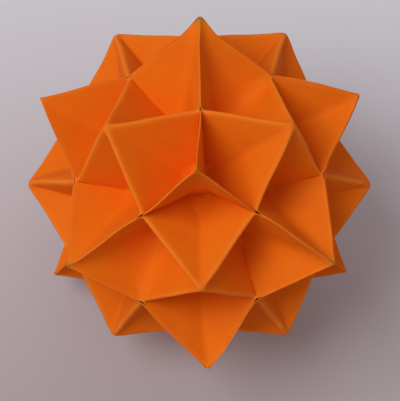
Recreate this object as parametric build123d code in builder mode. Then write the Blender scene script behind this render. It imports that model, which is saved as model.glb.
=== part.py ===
from build123d import *
import os

# A paper ball of twelve folded sheets. Each sheet has a peak in its middle, four ridges that run
# down from it to saddle points, and four corners that stand up again as tips. Three or four
# corners meet at each tip, glued back to back, with a deep dent between the tip and the peak.

# Heights from the middle of the ball, in millimetres
crown_radius = 78.0
three_tip_radius = 85.1
four_tip_radius = 83.0
saddle_radius = 65.0

# The saddle point's angle from the nearest tip of four sheets, in degrees
saddle_angle = 28.4

# The bottom of each dent: its height along the axis of the tip beside it, and its distance from it
three_dent_height = 38.9
three_dent_offset = 2.8
four_dent_height = 35.2
four_dent_offset = 12.9

# The paper, the depth to which a tip's corners are glued, and the film of glue between them
paper = 0.3
glue_depth = 3.0
glue_film = 0.04

# Directions in the ball's own axes, which run through its six tips of four sheets
middle = Vector(0, 0, 0)
crown_axis = Vector(0, 1, 1).normalized()
three_axes = [Vector(1, 1, 1).normalized(), Vector(-1, 1, 1).normalized()]
four_axes = [Vector(0, 0, 1), Vector(0, 1, 0)]
quarter_turn = 90


def square_to(axis, target):
    """Direction square to an axis, on the target's side of it."""
    return (target - axis * axis.dot(target)).normalized()


def facing(corners, seen_from):
    """Normal of a flat facet, on the side that it is seen from."""
    first, second, third = corners
    normal = (second - first).cross(third - first).normalized()
    return normal if normal.dot(seen_from - first) > 0 else normal * -1


def meeting_point(start, normals, distances):
    """Point at the given distances in front of three planes through the start."""
    first, second, third = normals
    span = first.dot(second.cross(third))
    shift = second.cross(third) * distances[0]
    shift += third.cross(first) * distances[1]
    shift += first.cross(second) * distances[2]
    return start + shift * (1 / span)


def saddle_between(three_axis, four_axis):
    """Point where the ridges of two neighbouring sheets meet."""
    lean = square_to(four_axis, three_axis)
    return lean.rotate(Axis(middle, four_axis.cross(lean)), saddle_angle - quarter_turn) * saddle_radius


class Corner:
    """One quarter of a sheet: its tip, its dent and the two saddles beside them."""

    def __init__(self, axis, radius, dent_height, dent_offset, saddles):
        self.axis = axis
        self.tip = axis * radius
        self.seam = axis * (radius - glue_depth)
        self.dent = axis * dent_height + square_to(axis, crown_axis) * dent_offset
        peak = crown_axis * crown_radius
        self.rims = [facing((self.tip, self.seam, saddle), peak) for saddle in saddles]
        self.walls = [facing((self.seam, self.dent, saddle), peak) for saddle in saddles]
        self.slopes = [facing((peak, self.dent, saddle), self.tip) for saddle in saddles]

    def skin(self, rim, sheet):
        """The quarter's own points, moved out to a skin of the paper."""
        tip = meeting_point(self.tip, [*self.rims, self.axis], [rim, rim, 0])
        seam = meeting_point(self.seam, [*self.rims, self.walls[0]], [rim, rim, sheet])
        dent = meeting_point(self.dent, [*self.slopes, self.walls[0]], [sheet, sheet, sheet])
        return tip, seam, dent


# The sheet's four corners in order, each between two saddles
three_right, three_left = three_axes
four_up, four_down = four_axes
saddles = [
    saddle_between(three_right, four_up),
    saddle_between(three_left, four_up),
    saddle_between(three_left, four_down),
    saddle_between(three_right, four_down),
]
three_sizes = three_tip_radius, three_dent_height, three_dent_offset
four_sizes = four_tip_radius, four_dent_height, four_dent_offset
corners = [
    Corner(three_right, *three_sizes, [saddles[3], saddles[0]]),
    Corner(four_up, *four_sizes, [saddles[0], saddles[1]]),
    Corner(three_left, *three_sizes, [saddles[1], saddles[2]]),
    Corner(four_down, *four_sizes, [saddles[2], saddles[3]]),
]


def sheet_points(rim, sheet):
    """All the points of one skin of the sheet: peak, saddles and corners."""
    lean = sum(corner.slopes[0].dot(crown_axis) for corner in corners) / len(corners)
    peak = crown_axis * (crown_radius + sheet / lean)
    shifted = []
    for index, saddle in enumerate(saddles):
        before, after = corners[index], corners[(index + 1) % len(corners)]
        normals = [before.rims[1], before.slopes[1], after.slopes[0]]
        shifted.append(meeting_point(saddle, normals, [rim, sheet, sheet]))
    return peak, shifted, [corner.skin(rim, sheet) for corner in corners]


def facet(*points):
    return Face(Wire.make_polygon(points))


# One folded sheet: its back skin, its front skin and the cut edges between them
back = sheet_points(glue_film / 2, 0)
front = sheet_points(glue_film / 2 + paper, paper)
with BuildPart() as folded_sheet:
    facets = []
    for peak, points, tips in (back, front):
        for index, (tip, seam, dent) in enumerate(tips):
            for saddle in (points[index - 1], points[index]):
                facets.append(facet(tip, seam, saddle))
                facets.append(facet(seam, dent, saddle))
                facets.append(facet(dent, peak, saddle))
    for index in range(len(corners)):
        for side in (index - 1, index):
            back_tip, front_tip = back[2][index][0], front[2][index][0]
            facets.append(facet(back_tip, front_tip, front[1][side]))
            facets.append(facet(back_tip, front[1][side], back[1][side]))
    add(Solid(Shell(facets)))

# The ball lies on a peak, a tip of three sheets and a tip of four, with one tip towards the front
rest_tips = [
    crown_axis * crown_radius,
    three_right * three_tip_radius,
    four_up * four_tip_radius,
]
up = facing(rest_tips, middle) * -1
to_back = square_to(up, three_right) * -1
pose = Plane(origin=middle, x_dir=to_back.cross(up), z_dir=up).location.inverse()

# Twelve copies: a ring of four round an axis, a ring at the waist and a ring below
rings = {
    "upper": Rotation(0, 0, 0),
    "middle": Rotation(0, quarter_turn, 0),
    "lower": Rotation(-quarter_turn, 0, 0),
}
places = {}
for ring, tilt in rings.items():
    for step in range(len(corners)):
        places[f"{ring}_sheet_{step + 1}"] = pose * Rotation(0, 0, quarter_turn * step) * tilt
lowest = min((place * folded_sheet.part).bounding_box().min.Z for place in places.values())

os.makedirs("parts", exist_ok=True)
for name, place in places.items():
    with BuildPart() as sheet:
        with Locations(Location((0, 0, -lowest)) * place):
            add(folded_sheet.part)
    sheet.part.label = name
    export_step(sheet.part, f"parts/{name}.step")
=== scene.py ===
import math
import random
import bmesh
import bpy
from mathutils import Matrix, Vector, noise


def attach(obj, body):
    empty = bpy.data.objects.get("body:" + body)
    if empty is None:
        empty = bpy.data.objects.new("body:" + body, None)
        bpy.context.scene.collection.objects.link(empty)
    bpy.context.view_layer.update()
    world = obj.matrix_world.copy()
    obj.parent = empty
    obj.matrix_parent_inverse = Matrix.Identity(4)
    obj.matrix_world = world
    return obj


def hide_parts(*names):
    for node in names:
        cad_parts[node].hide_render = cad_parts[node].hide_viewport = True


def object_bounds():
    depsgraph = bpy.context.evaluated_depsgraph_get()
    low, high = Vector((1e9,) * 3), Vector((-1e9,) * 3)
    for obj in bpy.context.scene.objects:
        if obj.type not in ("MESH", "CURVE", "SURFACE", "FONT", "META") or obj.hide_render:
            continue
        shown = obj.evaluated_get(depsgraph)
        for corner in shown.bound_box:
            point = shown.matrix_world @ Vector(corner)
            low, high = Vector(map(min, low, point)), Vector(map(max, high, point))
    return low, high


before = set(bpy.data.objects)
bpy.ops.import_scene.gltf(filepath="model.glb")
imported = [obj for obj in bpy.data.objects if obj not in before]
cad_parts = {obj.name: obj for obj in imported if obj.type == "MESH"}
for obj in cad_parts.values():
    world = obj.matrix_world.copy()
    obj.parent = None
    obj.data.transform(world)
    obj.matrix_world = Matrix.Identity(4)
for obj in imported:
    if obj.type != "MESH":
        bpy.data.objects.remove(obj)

cadLow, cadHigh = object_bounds()
ballMiddle = (cadLow + cadHigh) / 2
print("frame loaded:", len(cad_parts), "sheets, middle at", tuple(round(v, 4) for v in ballMiddle))


def clearSelection():
    if bpy.context.mode != "OBJECT":
        bpy.ops.object.mode_set(mode="OBJECT")
    bpy.ops.object.select_all(action="DESELECT")


def makeActive(piece):
    clearSelection()
    piece.select_set(True)
    bpy.context.view_layer.objects.active = piece


def applyModifier(piece, kind, **settings):
    makeActive(piece)
    step = piece.modifiers.new(kind.lower(), kind)
    for key, value in settings.items():
        setattr(step, key, value)
    bpy.ops.object.modifier_apply(modifier=step.name)


# Camera at the photograph's place, found from the fold points that show there
view = dict(
    azimuth=math.radians(1.11),
    elevation=math.radians(58.0),
    roll=math.radians(21.5),
    distance=0.703,
    aim=(0.0025, -0.0054, 0.0706),
    lens=138.1,
)

viewBack = Vector((
    math.sin(view["azimuth"]) * math.cos(view["elevation"]),
    -math.cos(view["azimuth"]) * math.cos(view["elevation"]),
    math.sin(view["elevation"]),
))
levelRight = Vector((0, 0, 1)).cross(viewBack).normalized()
levelUp = viewBack.cross(levelRight)
viewRight = levelRight * math.cos(view["roll"]) + levelUp * math.sin(view["roll"])
viewUp = viewBack.cross(viewRight)

clearSelection()
bpy.ops.object.camera_add(location=Vector(view["aim"]) + viewBack * view["distance"])
camera = bpy.context.object
camera.name = "photoCamera"
camera.matrix_world = Matrix.Translation(camera.location) @ Matrix(
    (viewRight, viewUp, viewBack)).transposed().to_4x4()
camera.data.lens = view["lens"]
bpy.context.scene.camera = camera
print("camera placed")


# One folded sheet, its peak on +Z, two tips of three sheets on X and two tips of four on Y
sheet = dict(
    peakHeight=0.0780,                 # heights are from the ball's middle
    threeTip=0.0851,
    fourTip=0.0830,
    saddleHeight=0.0650,
    saddleAngle=math.radians(28.4),    # from the tip of four
    threeDent=(0.0389, 0.0028),        # along the tip's axis, and beside it
    fourDent=(0.0352, 0.0129),
    flatSide=0.130,
    pickReach=0.001,                   # how near a point of the flat sheet is picked
    cuts=31,
    smoothFactor=0.5,
    ridgeSoft=(0.0042, 9),             # how far from the fold, and how many rounds of smoothing
    peakValleySoft=(0.0030, 4),
    tipValleySoft=(0.0060, 10),
    fourValleySoft=(0.0110, 45),       # once more, in the upper part of the valleys at tips of four
    fourValleyFrom=0.3,                # where that part starts, as a share from the dent
    ridgeNarrow=0.3,                   # share of a ridge's reach at the saddle
    widen=0.014,                       # how far from the saddle it is at its widest
    saddleSoft=(0.0016, 1),
    peakSink=0.0029,                   # what the smoothing takes off the peak
    slitAlong=0.00001,
    slitAtSaddle=0.0002,
    saddleReach=0.0023,
    slitAtTip=0.00006,
    tipReach=0.003,
    slitReach=0.005,
    slitPast=0.001,                    # how far a quarter's slit runs past the middle of the sheet
    creaseNear=0.0002,                 # how near to a crease its sharp edges lie
    # painted shade along the creases, where shade falls in the sharp valleys: its width, and how fast it
    # darkens
    creaseShadeWidth=0.0012,
    creaseShadeFade=(1.6, 0.35),            # how fast it darkens from the dent to the saddle, and its late start
    foldWidth=0.0030,                  # half the width of the paler strip on a ridge: partly real wear, partly painted highlight
    glueWidth=0.006,                   # how far glue shows from a tip of four
    calmRim=0.012,                     # how far from the rims the ripple reaches its full height
    thickness=0.0003,
    smoothAngle=75,
    wave=0.0005,
    waveSize=0.022,
)

threeAxis = Vector((1 / math.sqrt(3), 0, math.sqrt(2 / 3)))
fourAxis = Vector((0, 1 / math.sqrt(2), 1 / math.sqrt(2)))
up = Vector((0, 0, 1))
halfFlips = [Matrix.Diagonal((sign, sign, 1)) for sign in (1, -1)]
quarterFlips = [Matrix.Diagonal((sx, sy, 1)) for sx in (1, -1) for sy in (1, -1)]


def squareTo(axis, target):
    return (target - axis * axis.dot(target)).normalized()


def dentOf(axis, dent):
    return axis * dent[0] + squareTo(axis, up) * dent[1]


def quarters(point):
    return [flip @ point for flip in quarterFlips]


saddle = (fourAxis * math.cos(sheet["saddleAngle"])
          + squareTo(fourAxis, threeAxis) * math.sin(sheet["saddleAngle"])) * sheet["saddleHeight"]
peak = up * (sheet["peakHeight"] + sheet["peakSink"])
threeTip = threeAxis * sheet["threeTip"]
fourTip = fourAxis * sheet["fourTip"]
threeDent = dentOf(threeAxis, sheet["threeDent"])
fourDent = dentOf(fourAxis, sheet["fourDent"])


def selectNear(piece, spot, reach):
    mesh = bmesh.from_edit_mesh(piece.data)
    for vert in mesh.verts:
        vert.select_set((vert.co - spot).length < reach)
    mesh.select_flush_mode()
    bmesh.update_edit_mesh(piece.data)


def pullPoint(piece, spot, target):
    selectNear(piece, spot, sheet["pickReach"])
    bpy.ops.transform.translate(value=target - spot)


def lineDistance(point, start, end):
    along = end - start
    share = min(1.0, max(0.0, (point - start).dot(along) / along.length_squared))
    return (point - start - along * share).length


def selectFolds(piece, folds, reach, narrow, widen):
    mesh = bmesh.from_edit_mesh(piece.data)
    for vert in mesh.verts:
        start, end = min(folds, key=lambda fold: lineDistance(vert.co, *fold))
        share = min(1.0, narrow + (vert.co - end).length / widen)
        vert.select_set(lineDistance(vert.co, start, end) < reach * share)
    mesh.select_flush_mode()
    bmesh.update_edit_mesh(piece.data)


def foldSheet():
    clearSelection()
    bpy.ops.mesh.primitive_grid_add(
        x_subdivisions=2, y_subdivisions=2, size=sheet["flatSide"], rotation=(0, 0, math.radians(45)))
    piece = bpy.context.object
    piece.name = "foldedSheet"
    bpy.ops.object.transform_apply(location=True, rotation=True, scale=True)
    bpy.ops.object.mode_set(mode="EDIT")
    bpy.ops.mesh.select_mode(type="VERT")
    bpy.ops.mesh.select_all(action="SELECT")
    bpy.ops.mesh.poke()                                  # the middle of each quarter becomes a dent
    corner = sheet["flatSide"] / math.sqrt(2)
    edge = sheet["flatSide"] / math.sqrt(8)
    pullPoint(piece, Vector((0, 0, 0)), peak)
    for flip in halfFlips:
        pullPoint(piece, flip @ Vector((corner, 0, 0)), flip @ threeTip)
        pullPoint(piece, flip @ Vector((0, corner, 0)), flip @ fourTip)
        pullPoint(piece, flip @ Vector((corner / 2, 0, 0)), flip @ threeDent)
        pullPoint(piece, flip @ Vector((0, corner / 2, 0)), flip @ fourDent)
    for flip in quarterFlips:
        pullPoint(piece, flip @ Vector((edge, edge, 0)), flip @ saddle)
    bpy.ops.mesh.select_all(action="SELECT")
    bpy.ops.mesh.subdivide(number_cuts=sheet["cuts"])
    return piece


def smoothFolds(piece, folds, soft, narrow=1.0, withRim=False):
    reach, rounds = soft
    selectFolds(piece, folds, reach, narrow, sheet["widen"])
    mesh = bmesh.from_edit_mesh(piece.data)
    for vert in mesh.verts:
        if vert.is_boundary and not withRim:
            vert.select_set(False)
    mesh.select_flush_mode()
    bmesh.update_edit_mesh(piece.data)
    bpy.ops.mesh.vertices_smooth(factor=sheet["smoothFactor"], repeat=rounds)


def markCreases(piece, creases):
    bpy.ops.mesh.select_mode(type="EDGE")
    bpy.ops.mesh.select_all(action="DESELECT")
    mesh = bmesh.from_edit_mesh(piece.data)
    for edge in mesh.edges:
        ends = [min(lineDistance(vert.co, *crease) for crease in creases) for vert in edge.verts]
        edge.select_set(max(ends) < sheet["creaseNear"])
    bmesh.update_edit_mesh(piece.data)
    bpy.ops.mesh.mark_sharp()
    bpy.ops.mesh.select_mode(type="VERT")


def softenFolds(piece):
    ridges = [(peak, point) for point in quarters(saddle)]
    peakValleys, tipValleys, fourUpper, sideValleys = [], [], [], []
    for flip in halfFlips:
        for tip, dent in ((threeTip, threeDent), (fourTip, fourDent)):
            peakValleys.append((flip @ dent, peak))
            tipValleys.append((flip @ dent, flip @ tip))
            outward = squareTo(up, flip @ tip)
            sideValleys += [(flip @ dent, side) for side in quarters(saddle) if side.dot(outward) > 0]
        fourUpper.append((flip @ fourDent.lerp(fourTip, sheet["fourValleyFrom"]), flip @ fourTip))
    markCreases(piece, sideValleys)
    smoothFolds(piece, peakValleys, sheet["peakValleySoft"])
    smoothFolds(piece, tipValleys, sheet["tipValleySoft"])
    smoothFolds(piece, fourUpper, sheet["fourValleySoft"])
    smoothFolds(piece, ridges, sheet["ridgeSoft"], narrow=sheet["ridgeNarrow"])
    smoothFolds(piece, ridges, sheet["saddleSoft"], withRim=True)
    bpy.ops.object.mode_set(mode="OBJECT")
    return ridges, sideValleys


def inwardOf(flip):
    inward = (flip @ threeTip).cross(flip @ fourTip).normalized()
    return inward if inward.z > 0 else -inward


def openSlits(piece):
    for flip in quarterFlips:
        inward = inwardOf(flip)
        corner = flip @ saddle
        for vert in piece.data.vertices:
            own = flip @ vert.co
            if min(own.x, own.y) < -sheet["slitPast"]:
                continue
            depth = vert.co.dot(inward)
            near = max(0.0, 1 - depth / sheet["slitReach"])
            if near > 0:
                share = max(0.0, 1 - (vert.co - corner).length / sheet["saddleReach"])
                tipGap = min((vert.co - flip @ tip).length for tip in (threeTip, fourTip))
                tipShare = max(0.0, 1 - tipGap / sheet["tipReach"])
                slit = sheet["slitAlong"] + sheet["slitAtSaddle"] * share + sheet["slitAtTip"] * tipShare
                vert.co += inward * slit * near


# painted shade along a crease: darkest at the line, growing from the dent towards the saddle
def creaseShadeAt(point, dent, side):
    share = (point - dent).dot(side - dent) / (side - dent).length_squared
    pace, late = sheet["creaseShadeFade"]
    near = max(0.0, 1 - lineDistance(point, dent, side) / sheet["creaseShadeWidth"])
    return near * min(1.0, max(0.0, share * pace - late))


def markFolds(piece, ridges, creases):
    tips = [fourTip, Matrix.Diagonal((1, -1, 1)) @ fourTip]
    rims = []
    for point in quarters(saddle):
        for tip in (threeTip, fourTip):
            flipped = Vector((math.copysign(tip.x, point.x), math.copysign(tip.y, point.y), tip.z))
            rims.append((point, flipped))
    inner = piece.vertex_groups.new(name="inner")
    for vert in piece.data.vertices:
        rimReach = min(lineDistance(vert.co, *rim) for rim in rims)
        inner.add([vert.index], min(1.0, rimReach / sheet["calmRim"]), "REPLACE")
    places = [vert.co.copy() for vert in piece.data.vertices]
    ridgeGaps = [min(lineDistance(place, *ridge) for ridge in ridges) for place in places]
    fold = [max(0.0, 1 - gap / sheet["foldWidth"]) for gap in ridgeGaps]
    # painted shade along the creases
    crease = [max(creaseShadeAt(place, *line) for line in creases) for place in places]
    tipGaps = [min((place - tip).length for tip in tips) for place in places]
    glue = [max(0.0, 1 - gap / sheet["glueWidth"]) for gap in tipGaps]
    for name, values in (("fold", fold), ("crease", crease), ("glue", glue)):
        piece.data.attributes.new(name, "FLOAT", "POINT").data.foreach_set("value", values)


foldedSheet = foldSheet()
ridgeLines, creaseLines = softenFolds(foldedSheet)
openSlits(foldedSheet)
markFolds(foldedSheet, ridgeLines, creaseLines)
print("sheet folded:", len(foldedSheet.data.polygons), "faces")


# Shader node helpers
def newMaterial(name):
    material = bpy.data.materials.new(name)
    material.use_nodes = True
    return material, material.node_tree.nodes, material.node_tree.links


def addNode(nodes, kind, place, **settings):
    node = nodes.new(kind)
    node.location = place
    for key, value in settings.items():
        if key in node.inputs:
            node.inputs[key].default_value = value
        else:
            setattr(node, key, value)
    return node


# Paper fibre: soft cloudiness, short fibres and a height for the bump
fibreSet = dict(
    cloud=dict(Detail=3.0, Roughness=0.55),
    grain=dict(Detail=4.0, Roughness=0.65, Distortion=1.5),
    tooth=dict(Detail=2.0, Roughness=0.6),
    toothFiner=2.7,                    # how many times finer than the grain
)


def makeFibreGroup():
    group = bpy.data.node_groups.new("paperFibre", "ShaderNodeTree")
    group.interface.new_socket("Grain Size", in_out="INPUT", socket_type="NodeSocketFloat")
    group.interface.new_socket("Cloud Size", in_out="INPUT", socket_type="NodeSocketFloat")
    group.interface.new_socket("Cloud", in_out="OUTPUT", socket_type="NodeSocketFloat")
    group.interface.new_socket("Fibre", in_out="OUTPUT", socket_type="NodeSocketFloat")
    group.interface.new_socket("Height", in_out="OUTPUT", socket_type="NodeSocketFloat")
    nodes, links = group.nodes, group.links
    start = addNode(nodes, "NodeGroupInput", (-800, 0))
    end = addNode(nodes, "NodeGroupOutput", (600, 0))
    spot = addNode(nodes, "ShaderNodeTexCoord", (-800, 300))
    cloud = addNode(nodes, "ShaderNodeTexNoise", (-400, 300), **fibreSet["cloud"])
    fibre = addNode(nodes, "ShaderNodeTexNoise", (-400, 0), **fibreSet["grain"])
    tooth = addNode(nodes, "ShaderNodeTexNoise", (-400, -300), **fibreSet["tooth"])
    finer = addNode(nodes, "ShaderNodeMath", (-600, -300), operation="MULTIPLY")
    finer.inputs[1].default_value = fibreSet["toothFiner"]
    height = addNode(nodes, "ShaderNodeMath", (200, -150), operation="ADD")
    for pattern in (cloud, fibre, tooth):
        links.new(spot.outputs["Object"], pattern.inputs["Vector"])
    links.new(start.outputs["Cloud Size"], cloud.inputs["Scale"])
    links.new(start.outputs["Grain Size"], fibre.inputs["Scale"])
    links.new(start.outputs["Grain Size"], finer.inputs[0])
    links.new(finer.outputs[0], tooth.inputs["Scale"])
    links.new(fibre.outputs["Fac"], height.inputs[0])
    links.new(tooth.outputs["Fac"], height.inputs[1])
    links.new(cloud.outputs["Fac"], end.inputs["Cloud"])
    links.new(fibre.outputs["Fac"], end.inputs["Fibre"])
    links.new(height.outputs[0], end.inputs["Height"])
    return group


fibreGroup = makeFibreGroup()

paper = dict(
    deep=(0.79, 0.140, 0.004, 1),
    bright=(0.86, 0.182, 0.005, 1),
    # paler on ridges and rims: partly real wear, partly painted highlight
    wornAndHighlighted=(0.90, 0.255, 0.026, 1),
    # painted shade in the creases, where the sharp valleys fall in shade
    creaseShade=(0.50, 0.055, 0.002, 1),
    glue=(0.46, 0.215, 0.014, 1),
    cutDeep=(0.94, 0.44, 0.17, 1),
    cutBright=(0.98, 0.60, 0.32, 1),
    specular=0.085,
    grain=900.0,
    cloud=55.0,
    bump=0.12,
    bumpDepth=0.0003,
    cloudPart=(0.3, 0.7, 0.1, 0.6),    # each of these turns a range of values into another
    fibrePart=(0.3, 0.7, 0.0, 0.4),
    roughness=(0.2, 0.8, 0.62, 0.80),
    rimWearAndHighlight=(0.05, 0.55, 0.0, 0.8),
    patches=(0.3, 0.65, 0.35, 0.9),
    # range of the painted crease shade
    creaseShadePart=(0.5, 1.0, 0.0, 0.75),
    gluePart=(0.3, 0.85, 0.0, 1.0),
)


firstColour, secondColour, mixedColour = 6, 7, 2         # a mix node's colour sockets


def mixColour(nodes, place, first=None, second=None):
    node = addNode(nodes, "ShaderNodeMix", place, data_type="RGBA")
    if first:
        node.inputs[firstColour].default_value = first
    if second:
        node.inputs[secondColour].default_value = second
    return node


def rangeNode(nodes, place, low, high, toLow=0.0, toHigh=1.0):
    node = addNode(nodes, "ShaderNodeMapRange", place)
    node.inputs["From Min"].default_value = low
    node.inputs["From Max"].default_value = high
    node.inputs["To Min"].default_value = toLow
    node.inputs["To Max"].default_value = toHigh
    return node


def paperBase(name, deep, bright):
    material, nodes, links = newMaterial(name)
    shader = nodes["Principled BSDF"]
    shader.inputs["Specular IOR Level"].default_value = paper["specular"]
    fibre = addNode(nodes, "ShaderNodeGroup", (-900, 0), node_tree=fibreGroup)
    fibre.inputs["Grain Size"].default_value = paper["grain"]
    fibre.inputs["Cloud Size"].default_value = paper["cloud"]
    tone = mixColour(nodes, (-500, 200), deep, bright)
    mottle = addNode(nodes, "ShaderNodeMath", (-700, 200), operation="ADD")
    cloudPart = rangeNode(nodes, (-900, 400), *paper["cloudPart"])
    fibrePart = rangeNode(nodes, (-900, 250), *paper["fibrePart"])
    links.new(fibre.outputs["Cloud"], cloudPart.inputs["Value"])
    links.new(fibre.outputs["Fibre"], fibrePart.inputs["Value"])
    links.new(cloudPart.outputs[0], mottle.inputs[0])
    links.new(fibrePart.outputs[0], mottle.inputs[1])
    links.new(mottle.outputs[0], tone.inputs[0])
    rough = rangeNode(nodes, (-500, -100), *paper["roughness"])
    links.new(fibre.outputs["Fibre"], rough.inputs["Value"])
    links.new(rough.outputs[0], shader.inputs["Roughness"])
    bump = addNode(
        nodes, "ShaderNodeBump", (-300, -300), Strength=paper["bump"], Distance=paper["bumpDepth"])
    links.new(fibre.outputs["Height"], bump.inputs["Height"])
    links.new(bump.outputs["Normal"], shader.inputs["Normal"])
    links.new(tone.outputs[mixedColour], shader.inputs["Base Color"])
    return material, fibre, tone


def makePaper():
    material, fibre, tone = paperBase("orangePaper", paper["deep"], paper["bright"])
    nodes, links = material.node_tree.nodes, material.node_tree.links
    # ridges and rims painted paler: partly real wear, partly painted highlight
    fold = addNode(nodes, "ShaderNodeAttribute", (-1100, 700), attribute_name="fold")
    rim = addNode(nodes, "ShaderNodeAttribute", (-1100, 900), attribute_name="rim")
    rimWearAndHighlight = rangeNode(nodes, (-900, 900), *paper["rimWearAndHighlight"])
    edgeWearAndHighlight = addNode(nodes, "ShaderNodeMath", (-700, 700), operation="MAXIMUM")
    wearAndHighlight = addNode(nodes, "ShaderNodeMath", (-500, 600), operation="MULTIPLY")
    patchy = rangeNode(nodes, (-700, 500), *paper["patches"])
    links.new(fibre.outputs["Cloud"], patchy.inputs["Value"])
    links.new(rim.outputs["Fac"], rimWearAndHighlight.inputs["Value"])
    links.new(fold.outputs["Fac"], edgeWearAndHighlight.inputs[0])
    links.new(rimWearAndHighlight.outputs[0], edgeWearAndHighlight.inputs[1])
    links.new(edgeWearAndHighlight.outputs[0], wearAndHighlight.inputs[0])
    links.new(patchy.outputs[0], wearAndHighlight.inputs[1])
    wornAndHighlighted = mixColour(nodes, (-300, 400), second=paper["wornAndHighlighted"])
    links.new(wearAndHighlight.outputs[0], wornAndHighlighted.inputs[0])
    links.new(tone.outputs[mixedColour], wornAndHighlighted.inputs[firstColour])
    # painted shade darkening the sharp creases
    crease = addNode(nodes, "ShaderNodeAttribute", (-500, 1100), attribute_name="crease")
    creaseShadeRange = rangeNode(nodes, (-300, 1100), *paper["creaseShadePart"])
    creaseShaded = mixColour(nodes, (-200, 400), second=paper["creaseShade"])
    links.new(crease.outputs["Fac"], creaseShadeRange.inputs["Value"])
    links.new(creaseShadeRange.outputs[0], creaseShaded.inputs[0])
    links.new(wornAndHighlighted.outputs[mixedColour], creaseShaded.inputs[firstColour])
    glue = addNode(nodes, "ShaderNodeAttribute", (-500, 900), attribute_name="glue")
    stain = mixColour(nodes, (-100, 400), second=paper["glue"])
    blot = addNode(nodes, "ShaderNodeMath", (-300, 800), operation="MULTIPLY")
    spread = rangeNode(nodes, (-400, 950), *paper["gluePart"])
    links.new(glue.outputs["Fac"], spread.inputs["Value"])
    links.new(spread.outputs[0], blot.inputs[0])
    links.new(patchy.outputs[0], blot.inputs[1])
    links.new(blot.outputs[0], stain.inputs[0])
    links.new(creaseShaded.outputs[mixedColour], stain.inputs[firstColour])
    links.new(stain.outputs[mixedColour], nodes["Principled BSDF"].inputs["Base Color"])
    return material


orangePaper = makePaper()
cutEdge = paperBase("cutEdge", paper["cutDeep"], paper["cutBright"])[0]
print("paper made")


# Twelve sheets, each placed by the tips of its own node
placing = dict(
    outerShare=0.995,                  # a vertex this far out, against the farthest, is at a tip of three
    sameWay=0.99,                      # least cosine between directions that count as one
)


def sheetPlace(node):
    points = [vert.co - ballMiddle for vert in node.data.vertices]
    first = max(points, key=lambda point: point.length)
    outer = [point for point in points if point.length > first.length * placing["outerShare"]]
    second = max(outer, key=lambda point: (point - first).length)
    alongX = (first - second).normalized()
    alongZ = (first + second).normalized()
    alongY = alongZ.cross(alongX)
    turn = Matrix((alongX, alongY, alongZ)).transposed().to_4x4()
    return Matrix.Translation(ballMiddle) @ turn


# Ball axes, through its tips of four: lower left, lower right and top in the photograph
ballX = Vector((-0.492, -0.8553, 0.1625))
ballY = Vector((0.8103, -0.3816, 0.4447))
ballZ = Vector((-0.3184, 0.3504, 0.8808))
saddleLean = 2.62                      # weight of the tip of four in a saddle's direction


def saddleWay(four, first, second):
    return four * saddleLean + first + second


def sameWay(first, second):
    return first.normalized().dot(second.normalized()) > placing["sameWay"]


def isListed(points, listed):
    return any(all(map(sameWay, points, ways)) for ways in listed)


# Rims that stand above their neighbours: the sheet, its tip, the tip across the saddle and the step
rimSteps = dict(
    most=0.0004,
    reach=0.004,
    liftShape=(1.2, 0.94),             # power of the share along the rim, and part of a half wave
    wearAndHighlightReach=0.0020,
    wearAndHighlightLeast=0.35,                    # paler paint of a rim that lies level, against one that stands proud: partly real wear, partly painted highlight
    wearAndHighlightStep=0.0012,
    seed=11,
    seen=[
        (ballX - ballY, ballX, ballX - ballY + ballZ, 0.0005),
        (ballZ - ballX, ballZ - ballX + ballY, ballZ, 0.0012),
        (ballY - ballZ, ballX + ballY - ballZ, ballY, 0.0013),
        (ballX - ballZ, ballX + ballY - ballZ, ballX, 0.0010),
        (ballX + ballY, ballY, ballX + ballY + ballZ, 0.0012),
        (ballZ - ballY, ballZ, ballZ - ballX - ballY, 0.0020),
        (ballZ - ballX, ballZ, ballZ - ballX - ballY, 0.0020),
    ],
)
rimDraw = random.Random(rimSteps["seed"])


def stepOf(place, tip, across):
    step = rimDraw.uniform(0, rimSteps["most"])
    points = [place.to_3x3() @ point for point in (up, tip, across)]
    for *ways, seen in rimSteps["seen"]:
        if all(map(sameWay, points, ways)):
            step = seen
    return step


def raiseRims(piece, place):
    # the rim attribute: paler along rims that stand proud, partly real wear and partly painted highlight
    wearAndHighlight = [0.0] * len(piece.data.vertices)
    late, span = rimSteps["liftShape"]
    for flip in quarterFlips:
        corner = flip @ saddle
        for tip, across in ((threeTip, fourTip), (fourTip, threeTip)):
            end = flip @ tip
            step = stepOf(place, end, flip @ across)
            along = (end - corner).normalized()
            outward = squareTo(along, corner + end)
            length = (end - corner).length
            proud = min(1.0, max(rimSteps["wearAndHighlightLeast"], step / rimSteps["wearAndHighlightStep"]))
            for vert in piece.data.vertices:
                share = (vert.co - corner).dot(along) / length
                gap = lineDistance(vert.co, corner, end)
                wornAndHighlighted = proud * (1 - gap / rimSteps["wearAndHighlightReach"])
                wearAndHighlight[vert.index] = max(wearAndHighlight[vert.index], wornAndHighlighted)
                if gap < rimSteps["reach"] and share > 0:
                    lift = math.sin(min(1.0, share) ** late * span * math.pi)
                    vert.co += outward * step * lift * (1 - gap / rimSteps["reach"])
    piece.data.attributes.new("rim", "FLOAT", "POINT").data.foreach_set("value", wearAndHighlight)


# The dent under the front tip, pressed flat: how far the flat runs towards the saddles and the peak
flatDent = dict(
    seen=[(ballX + ballY, ballX + ballY + ballZ)],
    toSaddle=0.19,
    toPeak=0.45,
    reach=0.030,
)


def inDent(point, dent):
    beside = point.x * dent.x > 0 and abs(point.y) * saddle.x < abs(point.x) * saddle.y
    return beside and (point - dent).length < flatDent["reach"]


def selectDent(piece, dent):
    mesh = bmesh.from_edit_mesh(piece.data)
    for face in mesh.faces:
        face.select_set(inDent(face.calc_center_median(), dent))
    bmesh.update_edit_mesh(piece.data)


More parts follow.
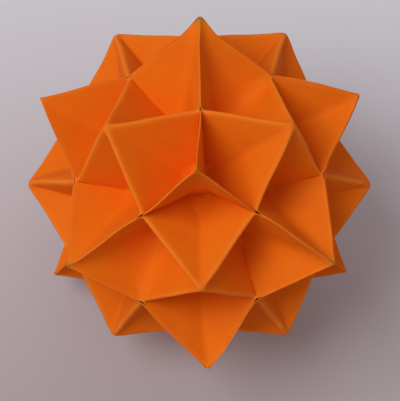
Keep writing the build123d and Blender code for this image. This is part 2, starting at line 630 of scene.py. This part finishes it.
def pressDent(piece, place):
    turn = place.to_3x3()
    for sign in (1, -1):
        flip = Matrix.Diagonal((sign, sign, 1))
        tip, dent = flip @ threeTip, flip @ threeDent
        if not isListed([turn @ up, turn @ tip], flatDent["seen"]):
            continue
        outward = (tip.normalized() + up).normalized()
        sides = [point for point in quarters(saddle) if point.x * sign > 0]
        left, right = [dent.lerp(side, flatDent["toSaddle"]) for side in sides]
        low = dent.lerp(up * sheet["peakHeight"], flatDent["toPeak"])
        makeActive(piece)
        bpy.ops.object.mode_set(mode="EDIT")
        bpy.ops.mesh.select_mode(type="FACE")
        for start, end in ((tip, left), (tip, right), (low, left), (low, right), (left, right)):
            selectDent(piece, dent)
            bpy.ops.mesh.bisect(plane_co=start, plane_no=(end - start).cross(outward).normalized())
        bpy.ops.object.mode_set(mode="OBJECT")
        flats = []
        for top in (tip, low):
            normal = (left - top).cross(right - top).normalized()
            flats.append((top, normal if normal.dot(outward) > 0 else -normal))
        for vert in piece.data.vertices:
            if inDent(vert.co, dent):
                rise = max((top - vert.co).dot(normal) / normal.dot(outward) for top, normal in flats)
                vert.co += outward * max(0.0, rise)


# Creases that hardly show: the sheet, and the tips of four and of three beside the crease
softCreases = dict(
    seen=[
        (ballX + ballY, ballX, ballX + ballY - ballZ),
        (ballY + ballZ, ballZ, ballY - ballX + ballZ),
    ],
    reach=0.008,
    rounds=40,
    narrow=0.0,                        # nothing at the saddle, so that the ridge there stays
)


def easeCreases(piece, place):
    turn = place.to_3x3()
    for flip in quarterFlips:
        points = [turn @ up, turn @ flip @ fourTip, turn @ flip @ threeTip]
        if not isListed(points, softCreases["seen"]):
            continue
        line = (flip @ fourDent, flip @ saddle)
        # no painted crease shade along these creases
        crease = piece.data.attributes["crease"].data
        for vert in piece.data.vertices:
            if lineDistance(vert.co, *line) < softCreases["reach"]:
                crease[vert.index].value = 0.0
        makeActive(piece)
        bpy.ops.object.mode_set(mode="EDIT")
        bpy.ops.mesh.select_mode(type="VERT")
        selectFolds(piece, [line], softCreases["reach"], softCreases["narrow"], sheet["widen"])
        bpy.ops.mesh.mark_sharp(clear=True)
        soft = (softCreases["reach"], softCreases["rounds"])
        smoothFolds(piece, [line], soft, narrow=softCreases["narrow"])
        bpy.ops.object.mode_set(mode="OBJECT")


# Ridges that are broader than the rest: the sheet and the saddle
softRidges = dict(
    seen=[
        (ballX - ballY, saddleWay(ballX, -ballY, ballZ)),
        (ballZ - ballY, saddleWay(ballZ, -ballY, ballX)),
        (ballZ - ballX, saddleWay(ballZ, -ballX, ballY)),
        (ballX - ballZ, saddleWay(ballX, -ballZ, ballY)),
        (ballY - ballZ, saddleWay(ballY, -ballZ, ballX)),
        (ballY - ballX, saddleWay(ballY, -ballX, ballZ)),
    ],
    start=0.4,                         # share of the ridge beside the peak that stays as it is
    soft=(0.0080, 36),
)


def easeRidges(piece, place):
    turn = place.to_3x3()
    for corner in quarters(saddle):
        if not isListed([turn @ up, turn @ corner], softRidges["seen"]):
            continue
        makeActive(piece)
        bpy.ops.object.mode_set(mode="EDIT")
        bpy.ops.mesh.select_mode(type="VERT")
        line = (peak.lerp(corner, softRidges["start"]), corner)
        smoothFolds(piece, [line], softRidges["soft"], narrow=sheet["ridgeNarrow"])
        bpy.ops.object.mode_set(mode="OBJECT")


# Saddles where a hole shows between the two sheets
saddleHoles = dict(
    seen=[saddleWay(ballX, ballY, -ballZ), saddleWay(ballY, ballX, -ballZ)],
    reach=0.0020,
    width=0.0005,
)


def openHoles(piece, place):
    turn = place.to_3x3()
    for flip in quarterFlips:
        corner = flip @ saddle
        if not any(sameWay(turn @ corner, way) for way in saddleHoles["seen"]):
            continue
        inward = inwardOf(flip)
        for vert in piece.data.vertices:
            near = max(0.0, 1 - (vert.co - corner).length / saddleHoles["reach"])
            vert.co += inward * saddleHoles["width"] * near


sheets = {}
for name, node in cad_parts.items():
    piece = foldedSheet.copy()
    piece.data = foldedSheet.data.copy()
    piece.name = name.replace("_sheet_", "Sheet")
    bpy.context.collection.objects.link(piece)
    place = sheetPlace(node)
    openHoles(piece, place)
    raiseRims(piece, place)
    pressDent(piece, place)
    easeCreases(piece, place)
    easeRidges(piece, place)
    piece.data.transform(place)
    sheets[name] = piece
bpy.data.objects.remove(foldedSheet)
print("sheets placed:", len(sheets))


# Points that the maker's hands left out of true: direction, height, and shifts to the right and up in
# the photograph, with how far round the point the paper follows
handReach = 0.035
topReach = 0.011
threeHigh, fourHigh = sheet["threeTip"], sheet["fourTip"]
peakHigh, saddleHigh = sheet["peakHeight"], sheet["saddleHeight"]
handFolds = dict(
    frontTip=(ballX + ballY + ballZ, threeHigh, -0.0015, 0.0034, handReach),
    leftTip=(ballX - ballY + ballZ, threeHigh, -0.0004, -0.0021, handReach),
    rightTip=(ballY - ballX + ballZ, threeHigh, 0.0007, -0.0018, handReach),
    lowTip=(ballX + ballY - ballZ, threeHigh, 0.0024, -0.0009, handReach),
    leftFour=(ballX, fourHigh, 0.0019, -0.0016, handReach),
    rightFour=(ballY, fourHigh, -0.0018, -0.0012, handReach),
    farPeak=(ballZ - ballY, peakHigh, 0.0012, 0.0014, handReach),
    farSaddle=(saddleWay(ballZ, -ballX, -ballY), saddleHigh, 0.0, 0.0036, handReach),
    upperSaddle=(saddleWay(ballZ, ballX, ballY), saddleHigh, 0.0004, 0.0015, handReach),
    rightSaddle=(saddleWay(ballY, ballX, ballZ), saddleHigh, -0.0011, 0.0011, handReach),
    topFour=(ballZ, fourHigh, 0.0006, 0.0024, topReach),
    farRightPeak=(ballZ - ballX, peakHigh, 0.0, 0.0014, handReach),
    farLeftPeak=(ballX - ballY, peakHigh, 0.0, 0.0012, handReach),
    leftSaddle=(saddleWay(ballX, -ballY, ballZ), saddleHigh, 0.0011, -0.0018, handReach),
    backSaddle=(saddleWay(-ballY, ballX, ballZ), saddleHigh, -0.0019, 0.0030, handReach),
    lowLeftSaddle=(saddleWay(ballX, ballY, -ballZ), saddleHigh, -0.0008, -0.0015, handReach),
    lowRightSaddle=(saddleWay(ballY, ballX, -ballZ), saddleHigh, -0.0007, -0.0006, handReach),
    rightOuterSaddle=(saddleWay(ballY, -ballX, ballZ), saddleHigh, -0.0020, 0.0, handReach),
    rightUpperSaddle=(saddleWay(ballZ, -ballX, ballY), saddleHigh, 0.0008, 0.0, handReach),
    lowBackSaddle=(saddleWay(ballX, -ballY, -ballZ), saddleHigh, -0.0022, -0.0006, handReach),
    rightBackSaddle=(saddleWay(-ballX, ballY, ballZ), saddleHigh, 0.0011, 0.0004, handReach),
    underSaddle=(saddleWay(-ballZ, ballX, ballY), saddleHigh, 0.0, -0.0014, handReach),
    lowLeftPeak=(ballX - ballZ, peakHigh, -0.0008, 0.0, handReach),
    lowRightPeak=(ballY - ballZ, peakHigh, -0.0005, 0.0, handReach),
    rightPeak=(ballY - ballX, peakHigh, -0.0007, 0.0, handReach),
    lowLeftTip=(ballX - ballY - ballZ, threeHigh, 0.0, -0.0007, handReach),
    lowRightTip=(ballY - ballX - ballZ, threeHigh, -0.0005, -0.0007, handReach),
)
handWave = dict(seed=5, size=0.011, height=0.00022)      # the slight waver of every edge and fold

for spot, height, right, rise, reach in handFolds.values():
    target = ballMiddle + spot.normalized() * height
    shift = viewRight * right + viewUp * rise
    for piece in sheets.values():
        for vert in piece.data.vertices:
            gap = (vert.co - target).length / reach
            if gap < 1:
                vert.co += shift * (1 - gap * gap) ** 2
noise.seed_set(handWave["seed"])
for piece in sheets.values():
    for vert in piece.data.vertices:
        vert.co += noise.noise_vector(vert.co / handWave["size"]) * handWave["height"]
print("hand folds set")

ripple = bpy.data.textures.new("ripple", "CLOUDS")
ripple.noise_scale = sheet["waveSize"]
ripple.noise_depth = 1

for name, piece in sheets.items():
    applyModifier(
        piece, "DISPLACE", texture=ripple, texture_coords="LOCAL", direction="NORMAL",
        strength=sheet["wave"], mid_level=0.5, vertex_group="inner")
    applyModifier(
        piece, "SOLIDIFY", thickness=sheet["thickness"], offset=1.0, use_rim=True,
        material_offset_rim=1)
    piece.data.materials.clear()
    piece.data.materials.append(orangePaper)
    piece.data.materials.append(cutEdge)
    makeActive(piece)
    bpy.ops.object.shade_smooth_by_angle(angle=math.radians(sheet["smoothAngle"]))
    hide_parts(name)
    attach(piece, "root")
print("sheets finished")


# Floor and light
stageSet = dict(
    floorSize=16.0,
    floorRoughness=0.8,
    floorSpecular=0.2,
    # painted shade and painted orange bounce light on the floor's near side
    floorShadeAndBounce=(0.415, 0.345, 0.345, 1),
    floorFar=(0.80, 0.825, 0.865, 1),
    floorWay=(-0.334, 0.943, 0),       # from the foot of the photograph to its head
    floorSpan=(-0.14, 0.20),
    floorAway=(0.28, 0.60),            # and pale all round at this distance
    keySpot=(-0.42, 0.21, 0.85),       # right, up and towards the camera
    keyDistance=1.5,
    keySize=0.8,
    keyPower=12.6,
    keyTone=(0.98, 1.0, 1.03),
    fillTone=(0.88, 0.78, 0.80, 1),
    fillStrength=0.45,
)


def makeFloor():
    clearSelection()
    bpy.ops.mesh.primitive_plane_add(size=stageSet["floorSize"], location=(0, 0, 0))
    floor = bpy.context.object
    floor.name = "floor"
    material, nodes, links = newMaterial("paleFloor")
    shader = nodes["Principled BSDF"]
    shader.inputs["Roughness"].default_value = stageSet["floorRoughness"]
    shader.inputs["Specular IOR Level"].default_value = stageSet["floorSpecular"]
    spot = addNode(nodes, "ShaderNodeTexCoord", (-1000, 0))
    way = addNode(nodes, "ShaderNodeVectorMath", (-800, 0), operation="DOT_PRODUCT")
    way.inputs[1].default_value = stageSet["floorWay"]
    fade = rangeNode(nodes, (-600, 0), *stageSet["floorSpan"])
    distance = addNode(nodes, "ShaderNodeVectorMath", (-800, -300), operation="LENGTH")
    away = rangeNode(nodes, (-600, -300), *stageSet["floorAway"])
    pale = addNode(nodes, "ShaderNodeMath", (-450, 0), operation="MAXIMUM")
    # darker and pinker towards the near side: painted shade and painted bounce light; pale far off
    tone = mixColour(nodes, (-300, 0), stageSet["floorShadeAndBounce"], stageSet["floorFar"])
    links.new(spot.outputs["Object"], way.inputs[0])
    links.new(way.outputs["Value"], fade.inputs["Value"])
    links.new(spot.outputs["Object"], distance.inputs[0])
    links.new(distance.outputs["Value"], away.inputs["Value"])
    links.new(fade.outputs[0], pale.inputs[0])
    links.new(away.outputs[0], pale.inputs[1])
    links.new(pale.outputs[0], tone.inputs[0])
    links.new(tone.outputs[mixedColour], shader.inputs["Base Color"])
    floor.data.materials.append(material)


def makeLight():
    right, rise, near = stageSet["keySpot"]
    towards = (viewRight * right + viewUp * rise + viewBack * near).normalized()
    clearSelection()
    bpy.ops.object.light_add(type="AREA", location=ballMiddle + towards * stageSet["keyDistance"])
    key = bpy.context.object
    key.name = "windowLight"
    key.rotation_mode = "QUATERNION"
    key.rotation_quaternion = towards.to_track_quat("Z", "Y")
    key.data.size = stageSet["keySize"]
    key.data.energy = stageSet["keyPower"]
    key.data.color = stageSet["keyTone"]
    world = bpy.data.worlds.new("softRoom")
    world.use_nodes = True
    world.node_tree.nodes["Background"].inputs["Color"].default_value = stageSet["fillTone"]
    world.node_tree.nodes["Background"].inputs["Strength"].default_value = stageSet["fillStrength"]
    bpy.context.scene.world = world


makeFloor()
makeLight()
bpy.context.scene.view_settings.view_transform = "Standard"
print("floor and light set")
